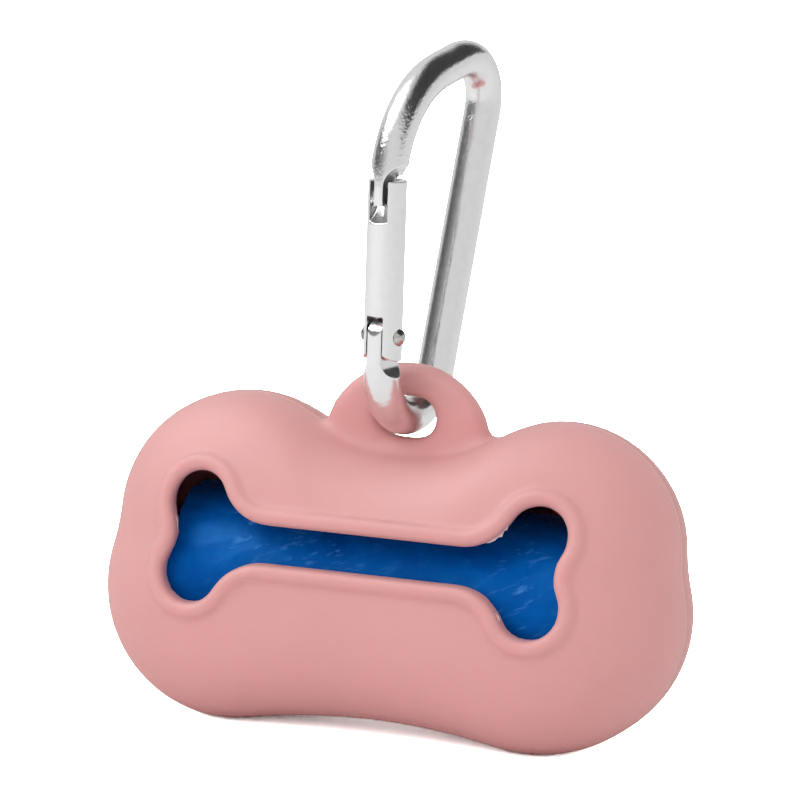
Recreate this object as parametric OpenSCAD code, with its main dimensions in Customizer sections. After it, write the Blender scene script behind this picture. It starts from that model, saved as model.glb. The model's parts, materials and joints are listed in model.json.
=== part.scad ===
// Pocket dispenser for pet waste bags: a soft bone-shaped case with a snap hook through its lug
// and a roll of perforated bags inside. Millimetres, front towards -Y, standing on z = 0.

/* [Case] */
// Length over the bottom lobes, left to right
case_length = 87.5; // [86:0.5:90]
// Length over the top lobes, left to right
top_length = 84.8; // [84:0.2:86]
// Height from the parting centre up to the top lobes
rise_height = 23.1; // [22:0.1:24.5]
// Height from the parting centre down to the bottom lobes
drop_height = 25.1; // [24:0.1:26.5]
// How far the top of the waist lies below the top lobes
top_waist = 7; // [5:0.5:7.5]
// How far the waist rises above the bottom lobes
bottom_waist = 2.3; // [1.5:0.1:3.5]
// Radius of the top lobes, seen from the front
top_lobe_r = 18; // [17:0.5:19]
// Radius of the bottom lobes, seen from the front
bottom_lobe_r = 20; // [19:0.5:21]
// Bulge of the front half at the parting centre
front_bulge = 18.2; // [17.8:0.1:19.5]
// Bulge of the back half at the parting centre
back_bulge = 17.5; // [17.3:0.1:19]
// How much deeper the case gets per millimetre further down
belly_slope = 0.2; // [0.1:0.05:0.25]
// Squareness of the section, where 2 is an ellipse
section_power = 2.8; // [2.4:0.1:3.2]
// Thickness of the moulded wall
wall = 2.3; // [2:0.1:2.5]
// Depth of the flat that each bottom lobe stands on
foot_flat = 0.4; // [0.3:0.1:0.6]

/* [Dispensing slot] */
// Distance from the middle to the centres of the slot's round ends
slot_reach = 25.8; // [25:0.1:26.5]
// Height of the slot's middle above the parting centre
slot_rise = 3.3; // [2:0.1:4]
// Half the height between the upper and lower round ends
slot_spread = 5; // [4.6:0.1:5.4]
// Radius of the slot's round ends
slot_lobe_r = 4.5; // [4:0.1:4.8]
// Height of the narrow middle of the slot
slot_shaft = 5.6; // [4.8:0.1:6.4]
// Width of the raised rim round the slot
rim_width = 2.9; // [2:0.1:3]
// Height of the raised rim above the face
rim_height = 1.1; // [0.6:0.1:1.4]

/* [Lug] */
// Outer radius of the half-round lug
lug_r = 13; // [12.6:0.1:13.4]
// Thickness of the lug from front to back
lug_thick = 4.8; // [4:0.1:5]
// Width of the hole for the hook
lug_hole_w = 8.8; // [8.6:0.1:10]
// Height of the hole for the hook
lug_hole_h = 6.1; // [6.1:0.1:6.5]

/* [Snap hook] */
// Diameter of the aluminium rod
rod_d = 5.5; // [5.2:0.1:5.6]
// Radius of the bottom bend, measured to the rod's middle
bend_r = 7.75; // [7.7:0.05:8]
// Radius of the long shoulder bend above the gate
shoulder_r = 16.8; // [15:0.1:17.5]
// Radius of the tight bend at the top of the spine
crown_r = 6.3; // [5.5:0.1:7]
// Height of the shoulder's corner above the bend's centre
shoulder_height = 39.5; // [38:0.5:41]
// Height of the crown's corner above the bend's centre
crown_height = 46.8; // [46:0.2:48]
// Outward lean of the gate side
gate_lean = 2.8; // [2:0.1:4]
// Outward lean of the spine
spine_lean = 13.7; // [12:0.1:15]
// Turn of the hook's plane away from straight front to back
hook_turn = 12.5; // [8:0.5:14]
// Diameter of the gate
gate_d = 5.7; // [5.6:0.1:5.8]
// Diameter of the hinge rivet's shank
rivet_d = 1.5; // [1.3:0.1:1.6]

/* [Roll of bags] */
// Length of the roll, equal to the folded width of a bag
roll_length = 60; // [56:0.5:61]
// Outer diameter of the full roll
roll_d = 29.2; // [26:0.2:29.6]
// Outer diameter of the cardboard core
core_d = 17; // [14:0.5:18]
// Wall of the cardboard core
core_wall = 1; // [0.6:0.1:1.4]
// Number of bags on the roll
bag_count = 15; // [12:1:20]

/* [Hidden] */
BAG_NODES = [for (i = [1:bag_count]) str("bag_", i < 10 ? "0" : "", i)];
$fn = 48;

silicone_pink = [0.87, 0.63, 0.61];
polished_aluminium = [0.84, 0.84, 0.85];
rivet_steel = [0.78, 0.78, 0.8];
cardboard_brown = [0.72, 0.6, 0.45];
film_blue = [0.02, 0.3, 0.68];

// Height of the parting centre above the floor, and the places of the four lobes
centre_z = drop_height - foot_flat;
top_lobe_x = top_length / 2 - top_lobe_r;
bottom_lobe_x = case_length / 2 - bottom_lobe_r;
top_lobe_z = rise_height - top_lobe_r;
bottom_lobe_z = bottom_lobe_r - drop_height;
end_valley_r = 30;
// Share of a point's distance from the middle at which its section starts, which leaves the face flat there
middle_share = 0.39;
// Steps along each arc of the outline and degrees between the rings, outside and in the cavity
skin_steps = 10;
skin_ring_step = 7.5;
cavity_steps = 6;
cavity_ring_step = 12;
overshoot = 30;
// Arcs along the outline from its start to the middle of the notch at the left end
left_notch = 7.5;

// The slot's corner fillets, its end valleys and the levels that round its raised rim
slot_fillet_r = 8;
slot_valley_r = 6;
slot_steps = 4;
slot_x = -0.6;
slot_z = centre_z + slot_rise;
rim_levels = 3;

// The lug's ring, on the middle of the waist
waist_z = centre_z + rise_height - top_waist;
lug_z = waist_z + 0.5;
lug_top = lug_z + lug_r;
lug_band = 4.85;
lug_hole_z = lug_top - lug_band - lug_hole_h / 2;
lug_steps = 40;
lug_corner_steps = 12;
lug_power = 3;
// How much thicker the ring gets from its top down to its foot
lug_flare = 0.12;

// The hook's own plane: first coordinate towards the spine, second up, from the middle of the bottom bend
hook_x = -0.4;
hook_z = lug_top - 0.2;
rod_r = rod_d / 2;
gate_up = [-sin(gate_lean), cos(gate_lean)];
spine_up = [sin(spine_lean), cos(spine_lean)];
gate_foot = bend_r * [-cos(gate_lean), -sin(gate_lean)];
spine_foot = bend_r * [cos(spine_lean), -sin(spine_lean)];
shoulder_corner = gate_foot + gate_up * (shoulder_height - gate_foot[1]) / gate_up[1];
crown_corner = spine_foot + spine_up * (crown_height - spine_foot[1]) / spine_up[1];
// The straight runs end inside the bends, which are a hair thicker
bar_overlap = 0.2;
bend_swell = 0.02;

// The gate side, measured up its leg from the end of the bottom bend
pin_at = 5.15;
gate_r = gate_d / 2;
gate_top = 27.9;
gate_opening = 30;
ear_r = 3.55;
ear_slot_w = 2.7;
ear_slot_top = 8.2;
tongue_w = 2.4;
tongue_tip_r = 2.6;
tongue_step = 5;
nose_tip = 24.3;
nose_root = 28.3;
nose_w = 1.5;
nose_gap = 0.3;
pocket_w = 3;
// Round cutter that opens the pocket for the nose on the gate's outer side
pocket_r = 8;
pocket_centre = [-6.26, 29];
// Round cutters that scoop the rod's flanks away beside the nose and the hinge tongue
scoop_r = 3;
nose_scoop_at = 27.3;
tongue_scoop_at = 1.9;
pin_play = 0.05;
seat_play = 0.15;
head_d = 2.7;
head_h = 1;
head_seat = 2.65;

// The plunger and the spring in the gate's bore, which close the gate against the tongue's end
bore_d = 2.4;
bore_top = 19.5;
plunger_d = 2.2;
plunger_ball_r = 0.6;
plunger_gap = 0.12;
plunger_top = 10.4;
spring_wire = 0.3;
spring_d = 1.7;
spring_turns = 10;
spring_sides = 6;
spring_steps = 8;
spring_end_gap = 0.2;

// The roll, which lies on the floor of the cavity
roll_r = roll_d / 2;
core_r = core_d / 2;
roll_y = -0.4;
roll_lift = 0.5;
roll_z = centre_z - drop_height + bottom_waist + wall + roll_r + roll_lift;

// Angle of the way from p to q
function heading(p, q) = atan2(q[1] - p[1], q[0] - p[0]);

// Turn from angle a to angle b, one way or the other
function turn_left(a, b) = ((b - a) % 360 + 360) % 360;
function turn_right(a, b) = -turn_left(b, a);

// Points on an arc that starts at angle a, without its last one
function arc_points(c, r, a, turn, steps) =
    [for (i = [0:steps - 1]) let (t = a + turn * i / steps) c + r * [cos(t), sin(t)]];

// Centre of the circle of radius r that touches two circles from outside, on the left of the way from p to q
function touching_centre(p, rp, q, rq, r) =
    let (
        d = norm(q - p),
        along = (pow(rp + r, 2) - pow(rq + r, 2) + d * d) / (2 * d),
        aside = sqrt(pow(rp + r, 2) - along * along),
        u = (q - p) / d
    )
    p + u * along + [-u[1], u[0]] * aside;

// A point at an angle on a rounded square of side 2, whose power sets how square it is
function squircle(a, power) =
    [cos(a), sin(a)] / pow(pow(abs(cos(a)), power) + pow(abs(sin(a)), power), 1 / power);

function reversed(list) = [for (i = [len(list) - 1:-1:0]) list[i]];

// Radius of the valley that dips by the given depth between two equal lobes at -x and x
function valley_radius(x, r, dip) = (x * x + (r - dip) * (r - dip) - r * r) / (2 * dip);

// The lobes of the case, clockwise from the upper left, and the valley that follows each of them
lobe_centres = [
    [-top_lobe_x, top_lobe_z],
    [top_lobe_x, top_lobe_z],
    [bottom_lobe_x, bottom_lobe_z],
    [-bottom_lobe_x, bottom_lobe_z]
];
lobe_radii = [top_lobe_r, top_lobe_r, bottom_lobe_r, bottom_lobe_r];
valley_radii = [
    valley_radius(top_lobe_x, top_lobe_r, top_waist),
    end_valley_r,
    valley_radius(bottom_lobe_x, bottom_lobe_r, bottom_waist),
    end_valley_r
];

// Outline of the case in its parting plane, grown by an even distance, clockwise
function case_outline(grow, steps) =
    let (
        c = lobe_centres,
        r = [for (s = lobe_radii) s + grow],
        v = [for (s = valley_radii) s - grow],
        w = [for (i = [0:3]) touching_centre(c[i], r[i], c[(i + 1) % 4], r[(i + 1) % 4], v[i])]
    )
    [
        for (i = [0:3])
            let (
                into = heading(c[i], w[(i + 3) % 4]),
                out = heading(c[i], w[i]),
                down = heading(w[i], c[i]),
                up = heading(w[i], c[(i + 1) % 4])
            )
            each concat(
                arc_points(c[i], r[i], into, turn_right(into, out), steps),
                arc_points(w[i], v[i], down, turn_left(down, up), steps)
            )
    ];

// A point of the case's skin, on the way from its long middle out to the point p of the outline
function skin_point(p, a, grow) =
    let (
        s = squircle(a, section_power),
        middle = [p[0] * middle_share, 0],
        q = middle + (p - middle) * s[0],
        bulge = (a < 0 ? front_bulge : back_bulge) - belly_slope * q[1] + grow
    )
    [q[0], bulge * s[1], q[1] + centre_z];

// Triangles between each ring of n points and the next
function band_faces(count, n) =
    [
        for (i = [0:count - 2])
            for (j = [0:n - 1])
                let (a = i * n + j, b = i * n + (j + 1) % n)
                each [[a, a + n, b + n], [a, b + n, b]]
    ];

// Triangles that close a ring of n points across, pairing each point with the one opposite, from start
function closing_faces(n, start) =
    let (
        left = [for (j = [0:n / 2]) (start + j) % n],
        right = [for (j = [0:n / 2]) (start + n - j) % n]
    )
    [
        for (j = [0:n / 2 - 1])
            each concat(
                j == n / 2 - 1 ? [] : [[left[j], left[j + 1], right[j + 1]]],
                j == 0 ? [] : [[left[j], right[j + 1], right[j]]]
            )
    ];

// The closed skin of the case, grown or shrunk by an even distance
module skin(grow, steps, ring_step) {
    outline = case_outline(grow, steps);
    last = 90 - ring_step / 2;
    rings = [for (a = [-last:ring_step:last + 0.01]) [for (p = outline) skin_point(p, a, grow)]];
    n = len(outline);
    front = closing_faces(n, left_notch * steps);
    back_start = (len(rings) - 1) * n;
    back = [for (f = front) [f[0] + back_start, f[2] + back_start, f[1] + back_start]];
    polyhedron(
        points = [for (r = rings) each r],
        faces = concat(band_faces(len(rings), n), front, back),
        convexity = 8
    );
}

// The quarter of the slot's outline up and to the right of its middle, grown by an even distance
function slot_quarter(grow) =
    let (
        lobe = [slot_reach, slot_spread],
        lobe_r = slot_lobe_r + grow,
        fillet_r = slot_fillet_r - grow,
        fillet_up = slot_shaft / 2 + slot_fillet_r,
        fillet = [slot_reach - sqrt(pow(lobe_r + fillet_r, 2) - pow(fillet_up - slot_spread, 2)), fillet_up],
        valley_r = slot_valley_r - grow,
        valley = [slot_reach + sqrt(pow(lobe_r + valley_r, 2) - slot_spread * slot_spread), 0],
        a = heading(lobe, fillet),
        b = heading(lobe, valley)
    )
    concat(
        arc_points(fillet, fillet_r, 270, turn_left(270, a + 180), slot_steps),
        arc_points(lobe, lobe_r, a, turn_right(a, b), 2 * slot_steps),
        arc_points(valley, valley_r, b + 180, turn_left(b + 180, 180), slot_steps)
    );

// The whole outline of the slot, seen from the front
function slot_outline(grow) =
    let (q = slot_quarter(grow))
    concat(
        q,
        reversed([for (p = q) [p[0], -p[1]]]),
        [for (p = q) [-p[0], -p[1]]],
        reversed([for (p = q) [-p[0], p[1]]])
    );

// A block behind the slot's outline, from inside the case out through its front
module slot_block(grow) {
    translate([slot_x, 0, slot_z])
        rotate([90, 0, 0])
            linear_extrude(overshoot)
                polygon(slot_outline(grow));
}

// The rim, rounded in levels: each lies higher and keeps further back from its edges
module rim() {
    for (i = [1:rim_levels]) {
        middle = (i - 0.5) / rim_levels;
        inset = rim_width / 2 * (1 - sqrt(1 - middle * middle));
        intersection() {
            skin(rim_height * i / rim_levels, skin_steps, skin_ring_step);
            difference() {
                slot_block(rim_width - inset);
                slot_block(inset);
            }
        }
    }
}

// Half-width of the lug's hole towards an angle, as a slot with round ends
function hole_point(a) =
    let (r = lug_hole_h / 2)
    [sign(cos(a)) * (lug_hole_w / 2 - r) + r * cos(a), r * sin(a) + lug_hole_z];

// The lug as a ring round its hole, with a rounded section that thickens towards the root
module lug() {
    section_steps = lug_corner_steps;
    points = [
        for (i = [0:lug_steps - 1])
            let (
                a = 360 * (i + 0.5) / lug_steps,
                inner = hole_point(a),
                outer = [lug_r * cos(a), lug_z + lug_r * sin(a)],
                half_w = lug_thick / 2 * (1 + lug_flare * (1 - sin(a)))
            )
            for (j = [0:section_steps - 1])
                let (
                    s = squircle(360 * j / section_steps, lug_power),
                    p = (inner + outer) / 2 + (outer - inner) / 2 * s[0]
                )
                [p[0], half_w * s[1], p[1]]
    ];
    faces = [
        for (i = [0:lug_steps - 1])
            for (j = [0:section_steps - 1])
                let (
                    i2 = (i + 1) % lug_steps,
                    j2 = (j + 1) % section_steps,
                    a = i * section_steps + j,
                    b = i * section_steps + j2,
                    c = i2 * section_steps + j2,
                    d = i2 * section_steps + j
                )
                each [[a, c, b], [a, d, c]]
    ];
    polyhedron(points = points, faces = faces, convexity = 4);
}

// The one-piece silicone case, set to its finished length
module case() {
    color(silicone_pink)
        resize([case_length, 0, 0])
            difference() {
                union() {
                    skin(0, skin_steps, skin_ring_step);
                    rim();
                    lug();
                }
                skin(-wall, cavity_steps, cavity_ring_step);
                slot_block(0);
                translate([-case_length, -overshoot, -overshoot])
                    cube([2 * case_length, 2 * overshoot, overshoot]);
            }
}

// Turns a shape drawn in the hook's plane, with its thickness along z, upright to its place
module on_hook() {
    translate([hook_x, 0, hook_z])
        rotate([90, 0, 90 - hook_turn])
            children();
}

// Moves a shape drawn with the leg along y to the gate side, at a distance up from the bend's end
module on_gate_side(at) {
    translate([gate_foot[0], gate_foot[1], 0])
        rotate([0, 0, gate_lean])
            translate([0, at, 0])
                children();
}

// A straight run of the rod between two points of the hook's plane, whose ends reach into the bends
module bar(p, q) {
    translate([p[0], p[1], 0])
        rotate([0, 0, heading(p, q)])
            translate([-bar_overlap, 0, 0])
                rotate([0, 90, 0])
                    cylinder(d = rod_d, h = norm(q - p) + 2 * bar_overlap);
}

// A bend of the rod about a point of the hook's plane, from angle a onwards, a hair thicker than the bars
module bend(c, r, a, turn) {
    translate([c[0], c[1], 0])
        rotate([0, 0, a])
            rotate_extrude(angle = turn)
                translate([r, 0])
                    circle(d = rod_d + bend_swell);
}

// Round corner of radius r at b, on the way from a to c: its centre, start and end
function corner(a, b, c, r) =
    let (
        u = (a - b) / norm(a - b),
        v = (c - b) / norm(c - b),
        half = acos(u * v) / 2,
        back = r / tan(half),
        middle = (u + v) / norm(u + v)
    )
    [b + middle * r / sin(half), b + u * back, b + v * back];

shoulder = corner(gate_foot, shoulder_corner, crown_corner, shoulder_r);
crown = corner(shoulder_corner, crown_corner, spine_foot, crown_r);

// The whole rod, before its two ends are cut to shape
module rod() {
    foot_angle = 180 + gate_lean;
    bar(gate_foot, gate_foot + gate_up * (pin_at + rod_r));
    bend([0, 0], bend_r, foot_angle, turn_left(foot_angle, -spine_lean));
    bar(spine_foot, crown[2]);
    round_corner(crown, crown_r);
    bar(crown[1], shoulder[2]);
    round_corner(shoulder, shoulder_r);
    bar(gate_foot + gate_up * (nose_tip + bar_overlap), shoulder[1]);
}

// The rod's bend at a corner, from its far end back to its near end
module round_corner(points, r) {
    far = heading(points[0], points[2]);
    bend(points[0], r, far, turn_left(far, heading(points[0], points[1])));
}

// Radius of the hinge tongue's end, at an angle from straight up: round over the gate's travel, then widening to the rod
function tongue_radius(a) =
    let (round_to = a < 0 ? 0 : gate_opening)
    tongue_tip_r + (rod_r - tongue_tip_r) * pow(max(0, abs(a) - round_to) / (90 - round_to), 2);

// What is cut off above and beside the hinge tongue
module tongue_cutters() {
    tip = [for (a = [-90:tongue_step:90]) [0, pin_at] + tongue_radius(a) * [sin(a), cos(a)]];
    translate([0, 0, -rod_d])
        linear_extrude(2 * rod_d)
            polygon(concat([[-rod_d, pin_at]], tip, [[rod_d, pin_at], [rod_d, 2 * pin_at], [-rod_d, 2 * pin_at]]));
    for (side = [-1, 1])
        translate([-rod_d, tongue_scoop_at, side * (tongue_w / 2 + scoop_r)]) {
            rotate([0, 90, 0])
                cylinder(r = scoop_r, h = 2 * rod_d);
            translate([0, 0, -scoop_r])
                cube([2 * rod_d, 2 * pin_at, 2 * scoop_r]);
        }
    translate([0, pin_at, -rod_d])
        cylinder(d = rivet_d + 2 * pin_play, h = 2 * rod_d);
}

// What is cut off below and beside the nose, which keeps a tongue for the gate's pocket
module nose_cutters() {
    for (side = [-1, 1])
        translate([-rod_d, nose_scoop_at, side * (nose_w / 2 + scoop_r)]) {
            rotate([0, 90, 0])
                cylinder(r = scoop_r, h = 2 * rod_d);
            translate([0, -pocket_r, -scoop_r])
                cube([2 * rod_d, pocket_r, 2 * scoop_r]);
        }
    difference() {
        translate([-rod_d, nose_tip - 1, -rod_d])
            cube([2 * rod_d, nose_root - nose_tip + 1, 2 * rod_d]);
        translate([pocket_centre[0], pocket_centre[1], -rod_d - 1])
            cylinder(r = pocket_r - nose_gap, h = 2 * rod_d + 2, $fn = 96);
    }
}

// The bent rod of the snap hook, with a hinge tongue at one end and a nose at the other
module carabiner_frame() {
    color(polished_aluminium)
        on_hook()
            difference() {
                rod();
                on_gate_side(0)
                    tongue_cutters();
                on_gate_side(0)
                    nose_cutters();
            }
}

// The gate: two ears round the hinge tongue, a bore for the spring and a pocket for the nose
module gate() {
    ear_bottom = pin_at - ear_r;
    color(polished_aluminium)
        on_hook()
            on_gate_side(0)
                difference() {
                    translate([0, ear_bottom, 0])
                        rotate([-90, 0, 0])
                            cylinder(d = gate_d, h = gate_top - ear_bottom);
                    difference() {
                        translate([-gate_d, ear_bottom - 1, -gate_d])
                            cube([2 * gate_d, ear_r + 1, 2 * gate_d]);
                        translate([0, pin_at, -gate_d - 1])
                            cylinder(r = ear_r, h = 2 * gate_d + 2, $fn = 96);
                    }
                    translate([-gate_d, ear_bottom - 1, -ear_slot_w / 2])
                        cube([2 * gate_d, ear_slot_top - ear_bottom + 1, ear_slot_w]);
                    translate([0, ear_slot_top - 1, 0])
                        rotate([-90, 0, 0])
                            cylinder(d = bore_d, h = bore_top - ear_slot_top + 1);
                    translate([pocket_centre[0], pocket_centre[1], -pocket_w / 2])
                        cylinder(r = pocket_r, h = pocket_w, $fn = 96);
                    translate([0, pin_at, -gate_d])
                        cylinder(d = rivet_d, h = 2 * gate_d);
                    for (side = [-1, 1])
                        translate([0, pin_at, side > 0 ? head_seat : -gate_d])
                            cylinder(d = head_d + 2 * seat_play, h = gate_d - head_seat);
                }
}

// A low dome of sphere, on the plane z = 0
module dome(d, h) {
    r = (h * h + d * d / 4) / (2 * h);
    intersection() {
        translate([0, 0, h - r])
            sphere(r);
        cylinder(d = d, h = h);
    }
}

// The hinge rivet, with a domed head on each side
module gate_rivet() {
    color(rivet_steel)
        on_hook()
            on_gate_side(pin_at) {
                translate([0, 0, -head_seat])
                    cylinder(d = rivet_d, h = 2 * head_seat);
                for (side = [0, 1])
                    mirror([0, 0, side])
                        translate([0, 0, head_seat])
                            dome(head_d, head_h);
            }
}

// The plunger, which the spring presses towards the tongue's end
module gate_plunger() {
    ball_at = pin_at + tongue_tip_r + plunger_gap + plunger_ball_r;
    neck_end = ear_slot_top + plunger_ball_r;
    color(rivet_steel)
        on_hook()
            on_gate_side(0) {
                translate([0, ball_at, 0])
                    sphere(plunger_ball_r);
                translate([0, ball_at, 0])
                    rotate([-90, 0, 0])
                        cylinder(r = plunger_ball_r, h = neck_end - ball_at);
                translate([0, neck_end, 0])
                    rotate([-90, 0, 0])
                        cylinder(d = plunger_d, h = plunger_top - neck_end);
            }
}

// The spring as one tube along y, from the plunger up to the end of the bore
spring_start = plunger_top + spring_end_gap;
spring_length = bore_top - spring_end_gap - spring_start - spring_wire;
spring_pitch = spring_length / spring_turns;
spring_rings = spring_turns * spring_steps;

function spring_middle(i) =
    let (a = 360 * i / spring_steps, r = (spring_d - spring_wire) / 2)
    [r * cos(a), spring_start + spring_wire / 2 + spring_pitch * i / spring_steps, r * sin(a)];

// Least gap between a ring and the rings of the next turn
function spring_gap() =
    min([for (i = [spring_steps / 2:spring_steps * 3 / 2]) norm(spring_middle(i) - spring_middle(0))]) - spring_wire;

module gate_spring() {
    points = [
        for (i = [0:spring_rings])
            let (m = spring_middle(i), out = [m[0], 0, m[2]] / norm([m[0], 0, m[2]]))
            for (j = [0:spring_sides - 1])
                let (b = 360 * j / spring_sides)
                m + spring_wire / 2 * (cos(b) * out + sin(b) * [0, 1, 0])
    ];
    last = spring_rings * spring_sides;
    sides = [
        for (i = [0:spring_rings - 1])
            for (j = [0:spring_sides - 1])
                let (a = i * spring_sides + j, b = i * spring_sides + (j + 1) % spring_sides)
                each [[a, b, b + spring_sides], [a, b + spring_sides, a + spring_sides]]
    ];
    first_cap = [[for (j = [spring_sides - 1:-1:0]) j]];
    last_cap = [[for (j = [0:spring_sides - 1]) last + j]];
    echo(least_gap = spring_gap());
    color(rivet_steel)
        on_hook()
            on_gate_side(0)
                polyhedron(points = points, faces = concat(sides, first_cap, last_cap), convexity = 10);
}

// A tube along the roll's axis
module roll_tube(outer_r, inner_r) {
    translate([-roll_length / 2, roll_y, roll_z])
        rotate([0, 90, 0])
            difference() {
                cylinder(r = outer_r, h = roll_length, $fn = 96);
                translate([0, 0, -1])
                    cylinder(r = inner_r, h = roll_length + 2, $fn = 96);
            }
}

// The cardboard core of the roll
module roll_core() {
    color(cardboard_brown)
        roll_tube(core_r, core_r - core_wall);
}

// Radius of the roll once the outermost bags have been taken off; every bag holds the same area
function radius_after(taken) =
    sqrt(core_r * core_r + (roll_r * roll_r - core_r * core_r) * (bag_count - taken) / bag_count);

// One folded bag, wound over the next one inwards
module bag(i) {
    color(film_blue)
        roll_tube(radius_after(i - 1), radius_after(i));
}

case();
carabiner_frame();
gate();
gate_rivet();
gate_plunger();
gate_spring();
roll_core();
for (i = [1:bag_count]) bag(i);
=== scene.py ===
import bpy
import bmesh
import json
import math
from mathutils import Matrix, Vector, noise

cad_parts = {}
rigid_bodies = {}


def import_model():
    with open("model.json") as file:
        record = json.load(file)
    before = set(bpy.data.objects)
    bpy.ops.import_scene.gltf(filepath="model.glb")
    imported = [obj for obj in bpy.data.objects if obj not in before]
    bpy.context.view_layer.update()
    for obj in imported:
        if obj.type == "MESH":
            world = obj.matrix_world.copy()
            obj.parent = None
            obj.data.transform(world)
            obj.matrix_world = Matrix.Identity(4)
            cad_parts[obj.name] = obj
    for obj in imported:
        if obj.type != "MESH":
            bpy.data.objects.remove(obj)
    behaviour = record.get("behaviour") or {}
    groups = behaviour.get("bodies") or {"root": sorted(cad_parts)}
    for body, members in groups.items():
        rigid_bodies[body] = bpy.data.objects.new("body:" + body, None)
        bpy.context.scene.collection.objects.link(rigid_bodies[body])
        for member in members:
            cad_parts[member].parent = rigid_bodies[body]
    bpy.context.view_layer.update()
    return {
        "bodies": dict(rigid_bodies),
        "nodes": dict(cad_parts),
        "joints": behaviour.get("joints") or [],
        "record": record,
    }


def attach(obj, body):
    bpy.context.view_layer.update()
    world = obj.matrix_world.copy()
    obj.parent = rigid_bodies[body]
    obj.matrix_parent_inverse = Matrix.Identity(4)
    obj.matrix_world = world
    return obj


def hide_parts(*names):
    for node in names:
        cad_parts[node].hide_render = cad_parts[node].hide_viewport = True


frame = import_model()
mm = 0.001

# a soft bone-shaped case on its two lower lobes, a snap hook in its lug, a roll of bags inside


def hexColour(code):
    parts = [int(code[i:i + 2], 16) / 255 for i in (1, 3, 5)]
    return [p / 12.92 if p <= 0.04045 else ((p + 0.055) / 1.055) ** 2.4 for p in parts] + [1.0]


def addNode(tree, kind, settings=None, **links):
    node = tree.nodes.new(kind)
    for key, value in (settings or {}).items():
        setattr(node, key, value)
    for key, value in links.items():
        # i0, i1 and so on are places, anything else is a name
        numbered = key[0] == "i" and key[1:].isdigit()
        socket = node.inputs[int(key[1:]) if numbered else key.replace("_", " ")]
        if isinstance(value, bpy.types.NodeSocket):
            tree.links.new(value, socket)
        else:
            socket.default_value = value
    return node


def newMaterial(name):
    mat = bpy.data.materials.new(name)
    mat.use_nodes = True
    tree = mat.node_tree
    tree.nodes.clear()
    shader = addNode(tree, "ShaderNodeBsdfPrincipled")
    out = addNode(tree, "ShaderNodeOutputMaterial", Surface=shader.outputs[0])
    return mat, tree, shader, out


def pick(*objs):
    if bpy.context.object and bpy.context.object.mode != "OBJECT":
        bpy.ops.object.mode_set(mode="OBJECT")
    bpy.ops.object.select_all(action="DESELECT")
    for obj in objs:
        obj.select_set(True)
    bpy.context.view_layer.objects.active = objs[0]


def added(name):
    obj = bpy.context.object
    obj.name = name
    obj.data.name = name
    return obj


def applyModifier(obj, kind, **settings):
    pick(obj)
    mod = obj.modifiers.new(kind.title(), kind)
    for key, value in settings.items():
        setattr(mod, key, value)
    bpy.ops.object.modifier_apply(modifier=mod.name)


def cutAway(obj, *cutters):
    for cutter in cutters:
        applyModifier(obj, "BOOLEAN", object=cutter, operation="DIFFERENCE", solver="EXACT")
        bpy.data.objects.remove(cutter)


def joinTo(obj, *others):
    pick(obj, *others)
    bpy.ops.object.join()
    return obj


def faceOutwards(obj, mergeAt=0.0):
    pick(obj)
    bpy.ops.object.mode_set(mode="EDIT")
    bpy.ops.mesh.select_all(action="SELECT")
    if mergeAt:
        bpy.ops.mesh.remove_doubles(threshold=mergeAt)
    bpy.ops.mesh.normals_make_consistent(inside=False)
    bpy.ops.object.mode_set(mode="OBJECT")


def remeshed(obj, voxel, rounds):
    pick(obj)
    obj.data.remesh_voxel_size = voxel
    obj.data.remesh_voxel_adaptivity = 0
    bpy.ops.object.voxel_remesh()
    applyModifier(obj, "SMOOTH", factor=0.5, iterations=rounds)
    pick(obj)
    bpy.ops.object.shade_smooth()


def smoothed(obj, degrees):
    pick(obj)
    bpy.ops.object.shade_smooth_by_angle(angle=math.radians(degrees))
    return obj


def sweepRings(name, rings, close):
    # a circle of points laid on the first ring, then extruded onto each next one
    bpy.ops.mesh.primitive_circle_add(vertices=len(rings[0]), radius=0.02, fill_type="NOTHING")
    obj = added(name)
    bpy.ops.object.mode_set(mode="EDIT")
    bpy.ops.mesh.select_all(action="SELECT")
    bm = bmesh.from_edit_mesh(obj.data)
    ring = list(bm.verts)
    ends = []
    for k, places in enumerate(rings):
        if k:
            before = ring
            bpy.ops.mesh.extrude_region_move()
            ring = [next(e.other_vert(v) for e in v.link_edges if e.other_vert(v).select) for v in before]
        for v, p in zip(ring, places):
            v.co = p
        if k in (0, len(rings) - 1):
            ends.append(ring)
    if close is joinEnds:
        joinEnds(bm, *ends)
    else:
        for end in ends:
            close(bm, end)
    bmesh.update_edit_mesh(obj.data)
    bpy.ops.object.mode_set(mode="OBJECT")
    faceOutwards(obj)
    return obj


def closeFlat(bm, ring):
    bm.faces.new(ring)


def closeAcross(bm, ring, start):
    # strips of faces from one side of the ring to the other
    n = len(ring)
    for j in range(n // 2):
        corners = []
        for i in (start + j, start + j + 1, start - j - 1, start - j):
            if ring[i % n] not in corners:
                corners.append(ring[i % n])
        bm.faces.new(corners)


def joinEnds(bm, first, last):
    n = len(first)
    for i in range(n):
        bm.faces.new((first[i], first[(i + 1) % n], last[(i + 1) % n], last[i]))


def lathe(name, profile, place, sides=48):
    # a profile of (radius, height) turned round the local z axis
    turn = [2 * math.pi * j / sides for j in range(sides)]
    rings = [[place @ Vector((r * math.cos(a), r * math.sin(a), h)) for a in turn] for r, h in profile]
    return sweepRings(name, rings, closeFlat)


def block(name, points, place, low, high):
    # an outline in the local x-y plane, from one height to another
    rings = [[place @ Vector((x, y, h)) for x, y in points] for h in (low, high)]
    return sweepRings(name, rings, closeFlat)


def weighted(obj, name, test):
    group = obj.vertex_groups.new(name=name)
    for vert in obj.data.vertices:
        value = test(vert.co)
        if value > 0:
            group.add([vert.index], min(value, 1.0), "REPLACE")
    return group


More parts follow.
